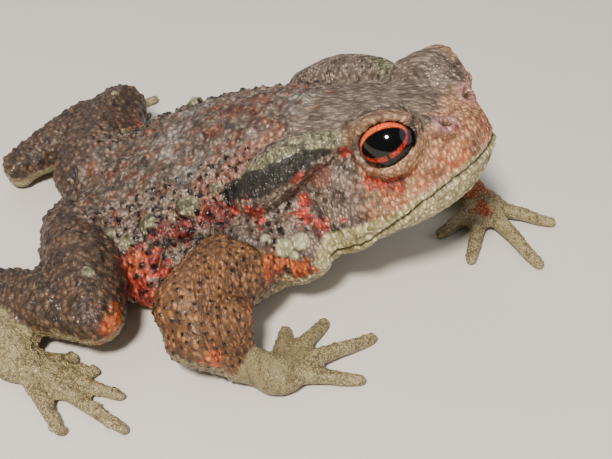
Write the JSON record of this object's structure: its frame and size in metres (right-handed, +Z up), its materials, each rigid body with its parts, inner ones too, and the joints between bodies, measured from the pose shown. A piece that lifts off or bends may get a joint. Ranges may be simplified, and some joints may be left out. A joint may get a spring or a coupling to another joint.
{
  "type": "common toad museum model",
  "caption": "Life-size Japanese common toad, still model, seated with the head raised and turned to its right.",
  "frame": {"origin": "middle of the footprint, on the floor the toad sits on", "axes": "+Z up; the body faces -Y, its left side is +X, and the head is turned towards -X"},
  "size_m": [0.146, 0.157, 0.0579],
  "materials": {
    "skin_back": "wet, warty grey-brown skin",
    "skin_pale": "wet, granular cream and olive skin",
    "gland": "smooth olive skin with dark pores",
    "eardrum": "smooth, taut red-brown skin",
    "eye": "wet, mirror smooth"
  },
  "bodies": {
    "root": {"eye_left": "eye", "eye_right": "eye", "foot_left": "skin_pale", "foot_right": "skin_pale", "forearm_left": "skin_back", "forearm_right": "skin_back", "hand_left": "skin_pale", "hand_right": "skin_pale", "head": "skin_back", "lower_jaw": "skin_pale", "parotoid_left": "gland", "parotoid_right": "gland", "shank_left": "skin_back", "shank_right": "skin_back", "thigh_left": "skin_back", "thigh_right": "skin_back", "torso": "skin_back", "tympanum_left": "eardrum", "tympanum_right": "eardrum", "upper_arm_left": "skin_back", "upper_arm_right": "skin_back"}
  },
  "joints": []
}
